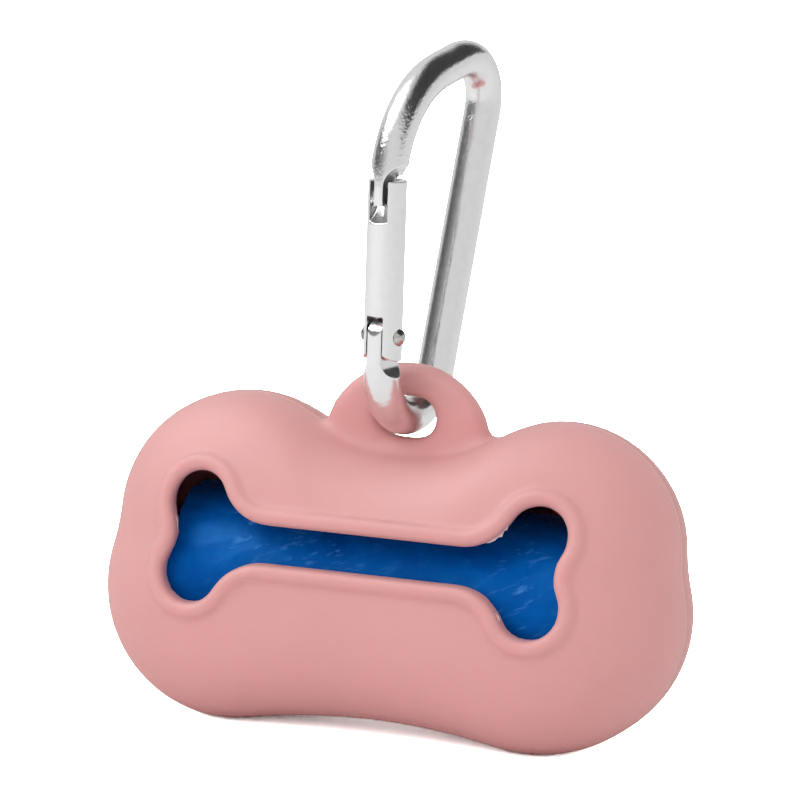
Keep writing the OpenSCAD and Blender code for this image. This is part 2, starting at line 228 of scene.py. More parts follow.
# the case: sizes in millimetres
caseSizes = {
    "length": 87.5, "topLength": 84.8, "riseHeight": 23.1, "dropHeight": 25.1,
    "topWaist": 7.0, "bottomWaist": 2.3, "topLobeR": 18.0, "bottomLobeR": 20.0, "endValleyR": 30.0,
    "frontBulge": 18.2, "backBulge": 17.5, "bellySlope": 0.2, "sectionPower": 2.8, "middleShare": 0.39,
    "wall": 2.3, "footFlat": 0.4,
    "voxel": 0.5, "smoothRounds": 7, "footRounds": 45,
}
slotSizes = {
    "x": -0.6, "reach": 25.8, "rise": 3.3, "spread": 5.0, "lobeR": 4.5, "shaft": 5.6,
    "filletR": 8.0, "valleyR": 6.0, "beadR": 1.3, "beadIn": 1.2, "beadSunk": 0.3, "cut": (-6, -36),
}
# torn flash: from, to (both from the slot's middle), reach, depth under the bead
flashSpots = [((-29.1, 0.3), (-30.0, 3.2), 0.4, 2.0), ((-29.6, -2.2), (-30.3, -5.6), 0.25, 2.0),
              ((18.2, 3.2), (22.3, 5.8), 0.75, 1.2), ((20.6, -8.0), (21.6, -5.2), 0.5, 1.6)]
lugSizes = {
    "outerR": 13.0, "above": 0.5, "thick": 4.8, "holeW": 8.8, "holeH": 6.1, "band": 4.85,
    "power": 3.0, "flare": 0.12,
}
# the line where the lug meets the body: its height over the waist, its curve, how far the fillet goes
footSizes = {"above": 0.2, "saddleR": 28, "halfWidth": 19, "lowest": 36, "full": 1.4, "fade": 3}

centreZ = caseSizes["dropHeight"] - caseSizes["footFlat"]
slotZ = centreZ + slotSizes["rise"]
waistZ = centreZ + caseSizes["riseHeight"] - caseSizes["topWaist"]
lugZ = waistZ + lugSizes["above"]
lugTop = lugZ + lugSizes["outerR"]


def heading(p, q):
    return math.atan2(q[1] - p[1], q[0] - p[0])


def turnLeft(a, b):
    return (b - a) % (2 * math.pi)


def turnRight(a, b):
    return -turnLeft(b, a)


def onCircle(c, r, a):
    return (c[0] + r * math.cos(a), c[1] + r * math.sin(a))


def arcPoints(c, r, a, turn, steps):
    return [onCircle(c, r, a + turn * i / steps) for i in range(steps)]


def touchingCentre(p, rp, q, rq, r):
    d = math.dist(p, q)
    along = ((rp + r) ** 2 - (rq + r) ** 2 + d * d) / (2 * d)
    aside = math.sqrt((rp + r) ** 2 - along * along)
    u = ((q[0] - p[0]) / d, (q[1] - p[1]) / d)
    return (p[0] + u[0] * along - u[1] * aside, p[1] + u[1] * along + u[0] * aside)


def squircle(a, power):
    c, s = math.cos(a), math.sin(a)
    k = (abs(c) ** power + abs(s) ** power) ** (1 / power)
    return (c / k, s / k)


def caseOutline(grow, steps):
    # four lobes and the valleys between them, clockwise from the upper left
    z = caseSizes
    topX, bottomX = z["topLength"] / 2 - z["topLobeR"], z["length"] / 2 - z["bottomLobeR"]
    topZ, bottomZ = z["riseHeight"] - z["topLobeR"], z["bottomLobeR"] - z["dropHeight"]
    valleyR = lambda x, r, dip: (x * x + (r - dip) ** 2 - r * r) / (2 * dip)
    c = [(-topX, topZ), (topX, topZ), (bottomX, bottomZ), (-bottomX, bottomZ)]
    r = [z["topLobeR"] + grow] * 2 + [z["bottomLobeR"] + grow] * 2
    v = [valleyR(topX, z["topLobeR"], z["topWaist"]) - grow, z["endValleyR"] - grow,
         valleyR(bottomX, z["bottomLobeR"], z["bottomWaist"]) - grow, z["endValleyR"] - grow]
    w = [touchingCentre(c[i], r[i], c[(i + 1) % 4], r[(i + 1) % 4], v[i]) for i in range(4)]
    points = []
    for i in range(4):
        into, out = heading(c[i], w[i - 1]), heading(c[i], w[i])
        down, up = heading(w[i], c[i]), heading(w[i], c[(i + 1) % 4])
        points += arcPoints(c[i], r[i], into, turnRight(into, out), steps)
        points += arcPoints(w[i], v[i], down, turnLeft(down, up), steps)
    return points


def skinPoint(p, a, grow):
    z = caseSizes
    s = squircle(a, z["sectionPower"])
    mid = p[0] * z["middleShare"]
    q = (mid + (p[0] - mid) * s[0], p[1] * s[0])
    bulge = (z["frontBulge"] if a < 0 else z["backBulge"]) - z["bellySlope"] * q[1] + grow
    return Vector((q[0], bulge * s[1], q[1] + centreZ)) * mm


def caseRings(grow, steps, ringStep):
    outline = caseOutline(grow, steps)
    last = 90 - ringStep / 2
    count = int(round(2 * last / ringStep)) + 1
    return [[skinPoint(p, math.radians(-last + ringStep * k), grow) for p in outline] for k in range(count)]


def loftSkin(name, grow, steps, ringStep):
    # every ring is the outline again; the two end rings are closed from the left notch to the right one
    start = 15 * steps // 2  # the middle of the left notch, the last of the outline's eight arcs
    return sweepRings(name, caseRings(grow, steps, ringStep), lambda bm, ring: closeAcross(bm, ring, start))


def slotOutline(grow, steps=10):
    z = slotSizes
    lobe = (z["reach"], z["spread"])
    lobeR, filletR, valleyR = z["lobeR"] + grow, z["filletR"] - grow, z["valleyR"] - grow
    up = z["shaft"] / 2 + z["filletR"]
    fillet = (z["reach"] - math.sqrt((lobeR + filletR) ** 2 - (up - z["spread"]) ** 2), up)
    valley = (z["reach"] + math.sqrt((lobeR + valleyR) ** 2 - z["spread"] ** 2), 0)
    a, b = heading(lobe, fillet), heading(lobe, valley)
    quarter = arcPoints(fillet, filletR, -math.pi / 2, turnLeft(-math.pi / 2, a + math.pi), steps)
    quarter += arcPoints(lobe, lobeR, a, turnRight(a, b), 2 * steps)
    quarter += arcPoints(valley, valleyR, b + math.pi, turnLeft(b + math.pi, math.pi), steps)
    points = quarter + [(x, -y) for x, y in reversed(quarter)]
    return points + [(-x, -y) for x, y in quarter] + [(-x, y) for x, y in reversed(quarter)]


def onSlot(p, y):
    # a point of the slot's outline at a depth
    return Vector((p[0] + slotSizes["x"], y, p[1] + slotZ)) * mm


def slotCutter():
    rings = [[onSlot(p, y) for p in slotOutline(0)] for y in slotSizes["cut"]]
    return sweepRings("slotCutter", rings, closeFlat)


def slotBead(skin):
    # a round bead laid on the face round the slot, as a tube that the remesh then melts in
    points = slotOutline(slotSizes["beadIn"], 8)
    curve = bpy.data.curves.new("slotBead", "CURVE")
    curve.dimensions = "3D"
    line = curve.splines.new("POLY")
    line.points.add(len(points) - 1)
    for spot, p in zip(line.points, points):
        hit, place, normal, face = skin.ray_cast(onSlot(p, -60), Vector((0, 1, 0)))
        place = place - normal * slotSizes["beadSunk"] * mm
        spot.co = (*place, 1)
    line.use_cyclic_u = True
    curve.bevel_depth = slotSizes["beadR"] * mm
    curve.bevel_resolution = 6
    obj = bpy.data.objects.new("slotBead", curve)
    bpy.context.scene.collection.objects.link(obj)
    pick(obj)
    bpy.ops.object.convert(target="MESH")
    faceOutwards(bpy.context.object, 0.01 * mm)
    return bpy.context.object


def tornFlash(case, start, end, reach, deep):
    # a ragged sliver left by the mould on the slot's edge, from one place on the outline to another
    outer, inner = 0.15, -1.0  # the sliver starts on one outline and reaches towards the other
    rim, inside, crest = (slotOutline(grow, 24) for grow in (outer, inner, slotSizes["beadIn"]))
    first, last = sorted(min(range(len(rim)), key=lambda i: math.dist(rim[i], p)) for p in (start, end))
    rings = []
    for i in range(first, last + 1):
        t = (i - first) / (last - first)
        ragged = 0.7 + 0.3 * math.sin(2.9 * i) * math.cos(1.3 * i)
        out = reach * math.sin(math.pi * t) ** 0.5 * ragged / (outer - inner)
        tip = tuple(a + (b - a) * max(out, 0.02) for a, b in zip(rim[i], inside[i]))
        hit, place, normal, face = case.ray_cast(onSlot(crest[i], -60), Vector((0, 1, 0)))
        y = place.y / mm + deep
        # 0.16 mm thick at the rim and 0.09 mm at the tip
        rings.append([onSlot(p, y + dy) for p, dy in ((rim[i], 0), (tip, 0.03), (tip, 0.12), (rim[i], 0.16))])
    sliver = sweepRings("flash", rings, closeFlat)
    thin = sliver.data.attributes.new("thin", "FLOAT", "POINT")  # the silicone's material makes it pale
    thin.data.foreach_set("value", [1.0] * len(sliver.data.vertices))
    return sliver


def lugRing():
    z = lugSizes
    around, across = 96, 32
    bpy.ops.mesh.primitive_torus_add(major_segments=around, minor_segments=across,
                                     major_radius=z["outerR"] * mm, minor_radius=z["thick"] / 2 * mm)
    obj = added("lug")
    r = z["holeH"] / 2
    holeZ = lugTop - z["band"] - r
    for i in range(around):
        a = 2 * math.pi * i / around
        shift = (z["holeW"] / 2 - r) * max(-1, min(1, 4 * math.cos(a)))  # the hole is oblong
        inner = Vector((shift + r * math.cos(a), 0, holeZ + r * math.sin(a)))
        outer = Vector((z["outerR"] * math.cos(a), 0, lugZ + z["outerR"] * math.sin(a)))
        half = z["thick"] / 2 * (1 + z["flare"] * (1 - math.sin(a)))  # thicker towards its foot
        for j in range(across):
            s = squircle(2 * math.pi * j / across, z["power"])
            p = (inner + outer) / 2 + (outer - inner) / 2 * s[0] + Vector((0, half * s[1], 0))
            obj.data.vertices[i * across + j].co = p * mm
    faceOutwards(obj)
    return obj


def lugFootShare(p):
    # how much a vertex takes part in the soft fillet at the lug's foot
    z = footSizes
    x, height = p.x / mm, p.z / mm
    if abs(x) >= z["halfWidth"] or height <= z["lowest"]:
        return 0
    return z["full"] - abs(height - (waistZ + z["above"]) - x ** 2 / (2 * z["saddleR"])) / z["fade"]


def buildCase():
    skin = loftSkin("siliconeCase", 0, 24, 3)
    bead = slotBead(skin)
    cutAway(skin, slotCutter(), loftSkin("cavity", -caseSizes["wall"], 12, 6))
    case = joinTo(skin, bead, lugRing())
    remeshed(case, caseSizes["voxel"] * mm, caseSizes["smoothRounds"])
    group = weighted(case, "lugFoot", lugFootShare)
    applyModifier(case, "SMOOTH", factor=0.5, iterations=caseSizes["footRounds"], vertex_group=group.name)
    for v in case.data.vertices:
        v.co.z = max(v.co.z, 0)  # soft silicone settles flat on the table
    return joinTo(case, *[tornFlash(case, *spot) for spot in flashSpots])


caseShell = buildCase()
print("case", len(caseShell.data.polygons), "faces")
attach(caseShell, "case")
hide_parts("case")

# the snap hook, drawn in its own plane: towards the spine, up, towards the camera
hookSizes = {
    "foot": (-0.4, 0, 54.1), "turn": 12.5, "rodR": 2.75, "bendR": 7.75, "shoulderR": 16.8, "crownR": 6.3,
    "shoulderHeight": 39.5, "crownHeight": 46.8, "gateLean": 2.8, "spineLean": 13.7,
    "tongueW": 2.4, "tongueTipR": 2.6, "tongueScoop": 1.9, "noseTip": 24.3, "noseRoot": 28.3, "noseW": 1.5,
    "noseScoop": 27.3, "scoopR": 3.0, "pocketR": 8.0, "pocketAt": (-6.26, 29.0), "noseGap": 0.3,
    "voxel": 0.17, "smoothRounds": 6,
}
gateSizes = {
    "pinAt": 5.15, "r": 2.85, "top": 27.9, "earR": 3.55, "slotW": 2.7, "slotTop": 8.2, "pocketW": 3.0,
    "boreR": 1.2, "boreTop": 19.5, "opening": 30, "voxel": 0.13, "smoothRounds": 5,
}
rivetSizes = {"r": 0.75, "headR": 1.35, "headH": 1.0, "seat": 2.65, "play": 0.05, "seatPlay": 0.15}
plungerSizes = {"r": 1.1, "ballR": 0.6, "gap": 0.12, "top": 10.4}

upright = Matrix.Rotation(math.radians(90 - hookSizes["turn"]), 4, "Z") @ Matrix.Rotation(math.pi / 2, 4, "X")
hookPlace = Matrix.Translation(Vector(hookSizes["foot"]) * mm) @ upright @ Matrix.Scale(mm, 4)
lean, spineLean = math.radians(hookSizes["gateLean"]), math.radians(hookSizes["spineLean"])
gateFoot = Vector((-math.cos(lean), -math.sin(lean))) * hookSizes["bendR"]
gateUp = Vector((-math.sin(lean), math.cos(lean)))
spineFoot = Vector((math.cos(spineLean), -math.sin(spineLean))) * hookSizes["bendR"]
spineUp = Vector((math.sin(spineLean), math.cos(spineLean)))
gatePlace = hookPlace @ Matrix.Translation((*gateFoot, 0)) @ Matrix.Rotation(lean, 4, "Z")
acrossLeg = Matrix(((0, 0, 1, 0), (0, 1, 0, 0), (-1, 0, 0, 0), (0, 0, 0, 1)))  # local z along the gate's x
alongLeg = Matrix.Rotation(-math.pi / 2, 4, "X")  # local z up the gate
pinPlace = gatePlace @ Matrix.Translation((0, gateSizes["pinAt"], 0))
past = 6  # the cutters go this far past the metal
holeHalf = 5  # and the pin hole's this far to each side
tipR = 0.02  # a turned point ends in a ring this small


def roundedCorner(a, b, c, r):
    u, v = (a - b).normalized(), (c - b).normalized()
    half = u.angle(v) / 2
    centre = b + (u + v).normalized() * r / math.sin(half)
    return centre, b + u * r / math.tan(half), b + v * r / math.tan(half)


def rodLine():
    # middle line of the rod with its heading, from the hinge tongue round to the nose
    z = hookSizes
    step = 0.8
    top = gateFoot + gateUp * (z["shoulderHeight"] - gateFoot.y) / gateUp.y
    peak = spineFoot + spineUp * (z["crownHeight"] - spineFoot.y) / spineUp.y
    bends = [(Vector((0, 0)), gateFoot, spineFoot, z["bendR"])]
    for corner, r in (((spineFoot, peak, top), z["crownR"]), ((peak, top, gateFoot), z["shoulderR"])):
        bends.append((*roundedCorner(*corner, r), r))
    line = [(gateFoot + gateUp * (gateSizes["pinAt"] + z["rodR"]), -math.pi / 2 + lean)]
    for c, p, q, r in bends:
        start, turn = heading(c, p), turnLeft(heading(c, p), heading(c, q))
        steps = max(2, int(turn * r / step))
        for i in range(steps + 1):
            a = start + turn * i / steps
            line.append((c + r * Vector((math.cos(a), math.sin(a))), a + math.pi / 2))
    line.append((gateFoot + gateUp * z["noseTip"], line[-1][1]))
    return line


def averaged(spots, reach):
    # every spot becomes the mean of its neighbours, fewer of them towards the ends
    means = []
    for i in range(len(spots)):
        n = min(i, len(spots) - 1 - i, reach)
        near = spots[i - n:i + n + 1]
        means.append(sum(near, Vector((0, 0, 0))) / len(near))
    return means


def easedLine(line, reach=3, step=0.6):
    # the curve of a bent rod sets in gradually: the line is averaged, then pushed back out to its size
    spots = [line[0]]
    for p, a in line[1:]:
        before, b = spots[-1]
        turn = (a - b + math.pi) % (2 * math.pi) - math.pi
        count = max(1, round((p - before).length / step))
        spots += [(before.lerp(p, i / count), b + turn * i / count) for i in range(1, count + 1)]
    once = averaged([Vector((*p, a)) for p, a in spots], reach)
    eased = [2 * p - q for p, q in zip(once, averaged(once, reach))]
    return [(p.xy, p.z) for p in eased]


def sideScoop(at, side, halfW, up):
    # flank cutter: round at its end, straight beyond it
    r = hookSizes["scoopR"]
    c = (-side * (halfW + r), at)
    turn = [math.pi * i / 24 for i in range(25)]
    arc = [(c[0] + r * math.cos(a), c[1] - up * r * math.sin(a)) for a in turn]
    points = arc + [(c[0] - r, at + up * 2 * past), (c[0] + r, at + up * 2 * past)]
    return block("scoop", points, gatePlace @ acrossLeg, -past, past)


def tongueTop():
    # cutter above the tongue: round about the pin as far as the gate turns, then out to the rod's width
    r0, r1, pin = hookSizes["tongueTipR"], hookSizes["rodR"], gateSizes["pinAt"]
    tip = []
    for i in range(-30, 31):
        a = math.radians(3 * i)
        free = math.radians(gateSizes["opening"]) if a > 0 else 0
        r = r0 + (r1 - r0) * (max(0, abs(a) - free) / (math.pi / 2 - free)) ** 2
        tip.append((r * math.sin(a), pin + r * math.cos(a)))
    points = [(-past, pin)] + tip + [(past, pin), (past, 2 * pin), (-past, 2 * pin)]
    return block("tongueTop", points, gatePlace, -past, past)


def noseFront():
    # cutter in front of the nose, round like the gate's pocket
    z = hookSizes
    r, under = z["pocketR"] - z["noseGap"], z["noseTip"] - 1
    low, high = (math.asin((y - z["pocketAt"][1]) / r) for y in (under, z["noseRoot"]))
    arc = [onCircle(z["pocketAt"], r, low + (high - low) * i / 16) for i in range(17)]
    return block("noseFront", arc + [(past, z["noseRoot"]), (past, under)], gatePlace, -past, past)


def gateTube(name, r, low, high):
    n = max(1, round(high - low))  # a ring about every millimetre keeps the booleans sound
    return lathe(name, [(r, low + (high - low) * i / n) for i in range(n + 1)], gatePlace @ alongLeg, 64)


def pinTube(name, r, low, high):
    return lathe(name, [(r, low), (r, high)], pinPlace)


def buildFrame():
    z = hookSizes
    turn = [2 * math.pi * j / 72 for j in range(72)]
    rings = []
    for p, a in easedLine(rodLine()):
        out = Vector((-math.sin(a), math.cos(a)))
        ring = [Vector((*(p + out * z["rodR"] * math.cos(b)), z["rodR"] * math.sin(b))) for b in turn]
        rings.append([hookPlace @ spot for spot in ring])
    frame = sweepRings("aluminiumHook", rings, closeFlat)
    holeR = rivetSizes["r"] + rivetSizes["play"]
    cutters = [tongueTop(), noseFront(), pinTube("pinHole", holeR, -holeHalf, holeHalf)]
    for side in (-1, 1):
        cutters.append(sideScoop(z["tongueScoop"], side, z["tongueW"] / 2, 1))
        cutters.append(sideScoop(z["noseScoop"], side, z["noseW"] / 2, -1))
    cutAway(frame, *cutters)
    remeshed(frame, z["voxel"] * mm, z["smoothRounds"])
    return frame


def buildGate():
    z = gateSizes
    low = z["pinAt"] - z["earR"]
    gate = gateTube("aluminiumGate", z["r"], low, z["top"])
    turn = [math.pi * i / 48 - math.pi / 2 for i in range(49)]
    ear = [(z["earR"] * math.sin(a), z["pinAt"] - z["earR"] * math.cos(a)) for a in turn]
    ear += [(past, z["pinAt"]), (past, -2), (-past, -2), (-past, z["pinAt"])]
    x, top = z["slotW"] / 2, z["slotTop"]
    earSlot = [(-x, low - 1), (x, low - 1), (x, top), (-x, top)]
    pocket = [onCircle(hookSizes["pocketAt"], hookSizes["pocketR"], math.pi * i / 48) for i in range(96)]
    seat, seatR = rivetSizes["seat"], rivetSizes["headR"] + rivetSizes["seatPlay"]
    cutAway(gate,
            block("earRound", ear, gatePlace, -past, past),
            block("earSlot", earSlot, gatePlace @ acrossLeg, -past, past),
            gateTube("bore", z["boreR"], top - 1, z["boreTop"]),
            pinTube("rivetHole", rivetSizes["r"], -holeHalf, holeHalf),
            block("pocket", pocket, gatePlace, -z["pocketW"] / 2, z["pocketW"] / 2),
            pinTube("seat", seatR, seat, holeHalf),
            pinTube("seat", seatR, -holeHalf, -seat))
    remeshed(gate, z["voxel"] * mm, z["smoothRounds"])
    return gate


def buildRivet():
    z = rivetSizes
    ball = (z["headH"] ** 2 + z["headR"] ** 2) / (2 * z["headH"])  # radius of the domed heads
    span = math.asin(z["headR"] / ball)
    turn = [span * i / 10 for i in range(11)]
    domeLine = [(ball * math.sin(a), z["seat"] + z["headH"] - ball + ball * math.cos(a)) for a in turn]
    domeLine[0] = (tipR, domeLine[0][1])
    profile = [(r, -h) for r, h in domeLine] + [(z["r"], -z["seat"]), (z["r"], z["seat"])] + domeLine[::-1]
    return smoothed(lathe("rivetSteel", profile, pinPlace), 40)


def buildPlunger():
    z = plungerSizes
    at = gateSizes["pinAt"] + hookSizes["tongueTipR"] + z["gap"] + z["ballR"]
    turn = [math.pi / 2 * i / 10 for i in range(11)]
    ball = [(z["ballR"] * math.sin(a), at - z["ballR"] * math.cos(a)) for a in turn]
    ball[0] = (tipR, ball[0][1])
    neck = gateSizes["slotTop"] + z["ballR"]
    body = [(z["ballR"], neck), (z["r"] - 0.1, neck + 0.02), (z["r"], neck + 0.12), (z["r"], z["top"])]
    return smoothed(lathe("plungerSteel", ball + body, gatePlace @ alongLeg, 32), 40)


pieces = {}
builders = {
    "carabiner_frame": buildFrame, "gate": buildGate, "gate_rivet": buildRivet, "gate_plunger": buildPlunger,
}
for node, build in builders.items():
    obj = build()
    pieces[node] = obj
    print(node, len(obj.data.polygons), "faces")
    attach(obj, "hook" if node == "carabiner_frame" else "gate")
    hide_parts(node)

# the roll of bags: the outermost bag is modelled with its creases, the rest keep their shape
rollSizes = {
    "length": 60.0, "r": 14.6, "coreR": 8.5, "bags": 15, "y": -0.4, "z": 19.3, "crease": 0.12,
    "looseFrom": 27, "looseOver": 3, "looseOut": 1.3, "looseIn": 0.2, "around": 240, "along": 160,
}


def creased(x, a):
    # long soft folds that run slantwise round the roll, with finer ones across them
    p = Vector((x * 0.16 + a * 1.1, a * 3.2 - x * 0.05, 0.7))
    slow = 1 - abs(noise.noise(p * 1.3)) * 2
    fine = 1 - abs(noise.noise(Vector((x * 0.5 + a * 2.0, a * 9.0, 3.1)))) * 2
    return rollSizes["crease"] * (0.65 * slow + 0.35 * fine)


def buildOuterBag():
    z = rollSizes
    inner = math.sqrt(z["coreR"] ** 2 + (z["r"] ** 2 - z["coreR"] ** 2) * (z["bags"] - 1) / z["bags"])
    place = Matrix.Translation(Vector((0, z["y"], z["z"])) * mm) @ Matrix.Rotation(math.pi / 2, 4, "Y")
    place = place @ Matrix.Scale(mm, 4)
    turn = [2 * math.pi * j / z["around"] for j in range(z["around"])]
    rings = []
    for i in range(z["along"] + 1):
        x = z["length"] * (i / z["along"] - 0.5)
        # the film's left edge has slipped out a little and folds inwards
        loose = max(0, -x - z["looseFrom"]) / z["looseOver"]
        ring = []
        for a in turn:
            c, s = math.cos(a), math.sin(a)
            r = z["r"] + creased(x, a) - z["looseIn"] * loose * (1 + noise.noise(Vector((5 * c, 5 * s, 2))))
            out = z["looseOut"] * loose ** 2 * (1 + 0.3 * noise.noise(Vector((8 * c, 8 * s, 5))))
            ring.append(place @ Vector((r * c, r * s, x - out)))
        rings.append(ring)
    for x in (z["length"] / 2, -z["length"] / 2):
        rings.append([place @ Vector((inner * math.cos(a), inner * math.sin(a), x)) for a in turn])
    return smoothed(sweepRings("filmBag", rings, joinEnds), 50)


outerBag = buildOuterBag()
print("outer bag", len(outerBag.data.polygons), "faces")
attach(outerBag, "roll")
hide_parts("bag_01")

# materials, all on object coordinates in metres: a scale of 1000 repeats a pattern about every millimetre
def ramp(tree, value, *stops):
    node = addNode(tree, "ShaderNodeValToRGB", Fac=value)
    while len(node.color_ramp.elements) < len(stops):
        node.color_ramp.elements.new(0.5)
    for spot, (at, level) in zip(node.color_ramp.elements, stops):
        spot.position = at
        spot.color = level if isinstance(level, list) else (level, level, level, 1)
    return node.outputs["Color"]


def maths(tree, operation, a, b=0.0, clamp=False):
    settings = {"operation": operation, "use_clamp": clamp}
    return addNode(tree, "ShaderNodeMath", settings, i0=a, i1=b).outputs[0]


def mixed(tree, a, b, by):
    return addNode(tree, "ShaderNodeMix", {"data_type": "RGBA"}, i0=by, i6=a, i7=b).outputs[2]


def noisy(tree, coords, scale, detail=2.0, rough=0.5, squeeze=None):
    if squeeze:
        coords = addNode(tree, "ShaderNodeMapping", Vector=coords, Scale=squeeze).outputs[0]
    node = addNode(tree, "ShaderNodeTexNoise", Vector=coords, Scale=scale, Detail=detail, Roughness=rough)
    return node.outputs[0]


def bump(tree, height, distance, strength=1.0, after=None):
    node = addNode(tree, "ShaderNodeBump", Height=height, Distance=distance, Strength=strength)
    if after:
        tree.links.new(after, node.inputs["Normal"])
    return node.outputs[0]


def dress(material, *objs):
    for obj in objs:
        obj.data.materials.clear()
        obj.data.materials.append(material)


def siliconeMaterial():
    # moulded in a blasted mould: an even satin skin without sharp glints, soft where light soaks in
    mat, tree, shader, out = newMaterial("siliconeSatinMoulded")
    at = addNode(tree, "ShaderNodeTexCoord").outputs["Object"]
    cloudy = noisy(tree, at, 60, 3)  # faint clouds about 15 mm wide
    grain = noisy(tree, at, 2600, 2)  # the mould's fine blasted grain, under half a millimetre
    colour = ramp(tree, cloudy, (0.3, hexColour("#d89a98")), (0.7, hexColour("#dc9d9b")))
    # the parting ridge, a thin raised line along the middle plane, with a painted highlight along its crest
    y = addNode(tree, "ShaderNodeSeparateXYZ", Vector=at).outputs[1]
    ridgeAt, ridgeHalf = 0.0004, 0.0003
    off = maths(tree, "ABSOLUTE", maths(tree, "SUBTRACT", y, ridgeAt))
    ridgeAndHighlight = maths(tree, "SUBTRACT", 1.0, maths(tree, "DIVIDE", off, ridgeHalf), True)
    # painted shade: the real back half stands a hair lower, so a greyer band painted behind the ridge stands
    # for that step's shade, by centimetres of y
    band = ramp(tree, maths(tree, "MULTIPLY", y, 100), (0.06, 0.0), (0.08, 1.0), (0.4, 0.0))
    # the painted shade of the step, mixed into the colour
    colour = mixed(tree, colour, hexColour("#a87a78"), maths(tree, "MULTIPLY", band, 0.3))
    # painted highlight: the ridge's line is painted paler, as if lit along its crest
    colour = mixed(tree, colour, hexColour("#f7cbc3"), maths(tree, "MULTIPLY", ridgeAndHighlight, 0.85))
    # sparse specks of dust, in one of thirty cells of 3 mm
    cell = addNode(tree, "ShaderNodeTexVoronoi", Vector=at, Scale=330)
    chance = addNode(tree, "ShaderNodeSeparateColor", Color=cell.outputs["Color"]).outputs[0]
    rare = maths(tree, "GREATER_THAN", chance, 0.965)
    speck = maths(tree, "MULTIPLY", maths(tree, "LESS_THAN", cell.outputs["Distance"], 0.035), rare)
    colour = mixed(tree, colour, hexColour("#f4e4e0"), maths(tree, "MULTIPLY", speck, 0.6))
    # torn flash is so thin that it looks pale
    thin = addNode(tree, "ShaderNodeAttribute", {"attribute_name": "thin"}).outputs["Fac"]
    colour = mixed(tree, colour, hexColour("#f0d9d2"), maths(tree, "MULTIPLY", thin, 0.6))
    tree.links.new(colour, shader.inputs["Base Color"])
    rough = ramp(tree, grain, (0.3, 0.58), (0.7, 0.66))
    tree.links.new(rough, shader.inputs["Roughness"])
    shader.inputs["IOR"].default_value = 1.45
    shader.inputs["Subsurface Weight"].default_value = 0.25
    shader.inputs["Subsurface Radius"].default_value = (1.0, 0.35, 0.3)
    shader.inputs["Subsurface Scale"].default_value = 0.0016
    shader.inputs["Coat Weight"].default_value = 0.5
    shader.inputs["Coat Roughness"].default_value = 0.72
    low = bump(tree, ridgeAndHighlight, 0.0002)
    low = bump(tree, noisy(tree, at, 180, 2), 0.00006, 1.0, low)  # slight unevenness of a soft moulding
    tree.links.new(bump(tree, grain, 0.000012, 1.0, low), shader.inputs["Normal"])
    return mat


def aluminiumMaterial():
    # drawn rod, tumbled and polished: it mirrors its surroundings, blurred across the drawing lines
    mat, tree, shader, out = newMaterial("aluminiumPolishedDrawn")
    at = addNode(tree, "ShaderNodeTexCoord").outputs["Object"]
    # drawing lines run up the legs, so the pattern is squeezed across them
    lines = noisy(tree, at, 5200, 3, 0.6, (1, 1, 0.03))
    scuffs = noisy(tree, at, 900, 4, 0.65)
    colour = ramp(tree, scuffs, (0.3, hexColour("#e9e9ea")), (0.75, hexColour("#f0efee")))
    tree.links.new(colour, shader.inputs["Base Color"])
    rough = ramp(tree, lines, (0.35, 0.10), (0.7, 0.2))
    rough = maths(tree, "ADD", rough, maths(tree, "MULTIPLY", scuffs, 0.06))
    tree.links.new(rough, shader.inputs["Roughness"])
    shader.inputs["Metallic"].default_value = 1.0
    low = bump(tree, lines, 0.000012)
    low = bump(tree, scuffs, 0.00001, 0.6, low)
    # the bending has roughened the arch's skin
    where = addNode(tree, "ShaderNodeSeparateXYZ", Vector=at)
    high = ramp(tree, maths(tree, "MULTIPLY", where.outputs[2], 10), (0.8, 0.0), (0.84, 1.0))
    nearGate = ramp(tree, maths(tree, "MULTIPLY", where.outputs[0], 100), (0.2, 1.0), (0.75, 0.0))
    pitted = maths(tree, "MULTIPLY", maths(tree, "MULTIPLY", noisy(tree, at, 2600, 2, 0.6), high), nearGate)
    tree.links.new(bump(tree, pitted, 0.00006, 1.0, low), shader.inputs["Normal"])
    return mat


def steelMaterial(name, light, dark, roughness):
    # small turned or coiled parts: yellower and duller than the aluminium, with fine handling marks
    mat, tree, shader, out = newMaterial(name)
    at = addNode(tree, "ShaderNodeTexCoord").outputs["Object"]
    marks = noisy(tree, at, 2600, 3, 0.6)
    colour = ramp(tree, marks, (0.35, hexColour(dark)), (0.65, hexColour(light)))
    tree.links.new(colour, shader.inputs["Base Color"])
    tree.links.new(ramp(tree, marks, (0.3, roughness), (0.7, roughness + 0.12)), shader.inputs["Roughness"])
    shader.inputs["Metallic"].default_value = 1.0
    tree.links.new(bump(tree, marks, 0.00001), shader.inputs["Normal"])
    return mat


